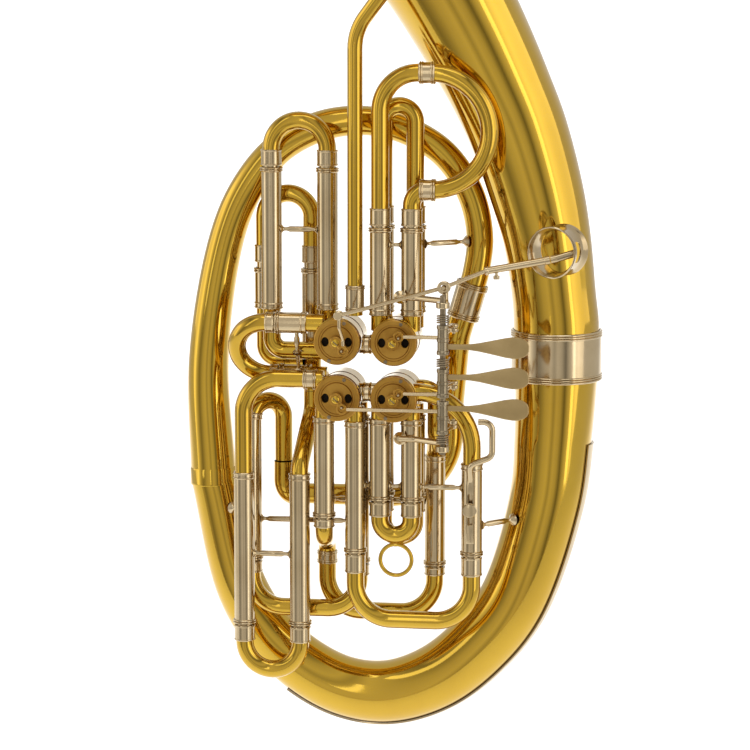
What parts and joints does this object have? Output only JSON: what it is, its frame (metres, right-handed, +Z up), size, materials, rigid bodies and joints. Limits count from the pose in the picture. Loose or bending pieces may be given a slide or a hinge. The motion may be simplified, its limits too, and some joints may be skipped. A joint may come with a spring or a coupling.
{
  "type": "wagner tuba",
  "caption": "Brass horn wound in an upright oval with a leaning bell, rotary valves worked by finger levers and a thumb lever, and tuning slides that pull out.",
  "frame": {"origin": "lowest point of the bow guard, in the plane of the main tube, where it rests on the player's thigh", "axes": "+Z up along the instrument towards the bell, +X towards the bell tube's side, -Y towards the valve levers"},
  "size_m": [0.354, 0.2412, 0.8294],
  "materials": {
    "brass": "lacquered, polished",
    "nickel": "nickel silver, polished",
    "gold": "satin",
    "steel": "satin"
  },
  "bodies": {
    "tuba": {"bell": "brass", "bell_garland": "nickel", "bottom_bow": "brass", "upper_branch": "brass", "branch_ferrule": "nickel", "tail_branch": "brass", "bow_guard": "nickel", "leadpipe": "brass", "mouthpiece_receiver": "nickel", "leadpipe_ferrule": "nickel", "upper_valve_link": "nickel", "lower_valve_link": "nickel", "slide_1_sleeves": "nickel", "slide_2_sleeves": "nickel", "slide_3_sleeves": "nickel", "slide_4_sleeves": "nickel", "slide_5_sleeves": "nickel", "main_slide_sleeves": "nickel", "slide_6_7_8_sleeves": "nickel", "slide_9_10_sleeves": "nickel", "thumb_valve_casing": "brass", "thumb_valve_plate": "gold", "first_valve_casing": "brass", "first_valve_plate": "gold", "second_valve_casing": "brass", "second_valve_plate": "gold", "third_valve_casing": "brass", "third_valve_plate": "gold", "upper_bracket": "nickel", "lower_bracket": "nickel", "lever_axle": "steel", "first_spring": "steel", "second_spring": "steel", "third_spring": "steel"},
    "slide_1": {"slide_1_crook": "brass"},
    "slide_2": {"slide_2_crook": "brass"},
    "slide_3": {"slide_3_crook": "brass"},
    "slide_4": {"slide_4_crook": "brass"},
    "slide_5": {"slide_5_crook": "brass"},
    "main_slide": {"main_slide_crook": "brass"},
    "slide_6": {"slide_6_crook": "brass"},
    "slide_7": {"slide_7_crook": "brass"},
    "slide_8": {"slide_8_crook": "brass"},
    "slide_9": {"slide_9_crook": "brass"},
    "slide_10": {"slide_10_crook": "brass"},
    "first_lever": {"first_lever": "nickel"},
    "first_rod": {"first_rod": "nickel"},
    "first_rotor": {"first_valve_rotor": "steel"},
    "second_lever": {"second_lever": "nickel"},
    "second_rod": {"second_rod": "nickel"},
    "second_rotor": {"second_valve_rotor": "steel"},
    "third_lever": {"third_lever": "nickel"},
    "third_rod": {"third_rod": "nickel"},
    "third_rotor": {"third_valve_rotor": "steel"},
    "thumb_lever": {"thumb_lever": "nickel", "thumb_saddle": "nickel"},
    "thumb_link": {"thumb_link": "nickel"},
    "thumb_rotor": {"thumb_valve_rotor": "steel"},
    "finger_hook": {"finger_hook": "nickel"},
    "hook_screw": {"hook_screw": "nickel"}
  },
  "joints": [
    {"name": "slide_1_pull", "type": "slide", "parent": "tuba", "child": "slide_1", "axis": [0, 0, 1], "range_m": [0, 0.024]},
    {"name": "slide_2_pull", "type": "slide", "parent": "tuba", "child": "slide_2", "axis": [0, 0, 1], "range_m": [0, 0.003]},
    {"name": "slide_3_pull", "type": "slide", "parent": "tuba", "child": "slide_3", "axis": [-1, 0, 0], "range_m": [0, 0.012]},
    {"name": "slide_4_pull", "type": "slide", "parent": "tuba", "child": "slide_4", "axis": [0, 0, -1], "range_m": [0, 0.024]},
    {"name": "slide_5_pull", "type": "slide", "parent": "tuba", "child": "slide_5", "axis": [0, 0, -1], "range_m": [0, 0.007]},
    {"name": "main_slide_pull", "type": "slide", "parent": "tuba", "child": "main_slide", "axis": [0, 0, -1], "range_m": [0, 0.015]},
    {"name": "slide_6_pull", "type": "slide", "parent": "tuba", "child": "slide_6", "axis": [0, 0, -1], "range_m": [0, 0.024]},
    {"name": "slide_7_pull", "type": "slide", "parent": "tuba", "child": "slide_7", "axis": [0, 0, -1], "range_m": [0, 0.014]},
    {"name": "slide_8_pull", "type": "slide", "parent": "tuba", "child": "slide_8", "axis": [0, 0, -1], "range_m": [0, 0.014]},
    {"name": "slide_9_pull", "type": "slide", "parent": "tuba", "child": "slide_9", "axis": [0, 0, 1], "range_m": [0, 0.01]},
    {"name": "slide_10_pull", "type": "slide", "parent": "tuba", "child": "slide_10", "axis": [0, 0, 1], "range_m": [0, 0.014]},
    {"name": "first_lever_press", "type": "hinge", "parent": "tuba", "child": "first_lever", "pos_m": [0.0471, -0.085, 0.28], "axis": [0, 0, 1], "range_deg": [0, 25], "stiffness_Nm_per_rad": 0.25, "springref_deg": -14.32},
    {"name": "first_rod_pivot", "type": "hinge", "parent": "first_lever", "child": "first_rod", "pos_m": [0.0519, -0.06333, 0.2927], "axis": [0, 0, 1], "range_deg": [-26, 0]},
    {"name": "first_rotor_turn", "type": "hinge", "parent": "tuba", "child": "first_rotor", "pos_m": [0.0095, -0.041, 0.2815], "axis": [0, -1, 0], "range_deg": [0, 91]},
    {"name": "second_lever_press", "type": "hinge", "parent": "tuba", "child": "second_lever", "pos_m": [0.0471, -0.085, 0.258], "axis": [0, 0, 1], "range_deg": [0, 25], "stiffness_Nm_per_rad": 0.25, "springref_deg": -14.32},
    {"name": "second_rod_pivot", "type": "hinge", "parent": "second_lever", "child": "second_rod", "pos_m": [0.0519, -0.06333, 0.2537], "axis": [0, 0, 1], "range_deg": [-26, 0]},
    {"name": "second_rotor_turn", "type": "hinge", "parent": "tuba", "child": "second_rotor", "pos_m": [0.0095, -0.041, 0.2425], "axis": [0, -1, 0], "range_deg": [0, 91]},
    {"name": "third_lever_press", "type": "hinge", "parent": "tuba", "child": "third_lever", "pos_m": [0.0471, -0.085, 0.236], "axis": [0, 0, 1], "range_deg": [0, 25], "stiffness_Nm_per_rad": 0.25, "springref_deg": -14.32},
    {"name": "third_rod_pivot", "type": "hinge", "parent": "third_lever", "child": "third_rod", "pos_m": [0.0519, -0.06333, 0.2296], "axis": [0, 0, 1], "range_deg": [-26, 0]},
    {"name": "third_rotor_turn", "type": "hinge", "parent": "tuba", "child": "third_rotor", "pos_m": [-0.0295, -0.041, 0.2425], "axis": [0, 1, 0], "range_deg": [0, 91]},
    {"name": "thumb_lever_rock", "type": "hinge", "parent": "tuba", "child": "thumb_lever", "pos_m": [0.0465, -0.075, 0.323], "axis": [0, 1, 0], "range_deg": [0, 7.67]},
    {"name": "thumb_link_pivot", "type": "hinge", "parent": "thumb_lever", "child": "thumb_link", "pos_m": [-0.0253, -0.0702, 0.3025], "axis": [0, 1, 0], "range_deg": [-12.5, 0]},
    {"name": "thumb_rotor_turn", "type": "hinge", "parent": "tuba", "child": "thumb_rotor", "pos_m": [-0.0295, -0.041, 0.2815], "axis": [0, -1, 0], "range_deg": [0, 91]},
    {"name": "finger_hook_slide", "type": "slide", "parent": "tuba", "child": "finger_hook", "axis": [0, 0, 1], "range_m": [-0.008, 0.008]},
    {"name": "hook_screw_turn", "type": "hinge", "parent": "tuba", "child": "hook_screw", "pos_m": [0.0623, -0.052, 0.167], "axis": [0, -1, 0], "range_deg": [-360, 360]}
  ],
  "couplings": [
    {"joint": "first_rod_pivot", "follows": "first_lever_press", "ratio": -1},
    {"joint": "first_rotor_turn", "follows": "first_lever_press", "ratio": 3.6},
    {"joint": "second_rod_pivot", "follows": "second_lever_press", "ratio": -1},
    {"joint": "second_rotor_turn", "follows": "second_lever_press", "ratio": 3.6},
    {"joint": "third_rod_pivot", "follows": "third_lever_press", "ratio": -1},
    {"joint": "third_rotor_turn", "follows": "third_lever_press", "ratio": 3.6},
    {"joint": "thumb_link_pivot", "follows": "thumb_lever_rock", "ratio": -1.5867},
    {"joint": "thumb_rotor_turn", "follows": "thumb_lever_rock", "ratio": 11.73}
  ]
}
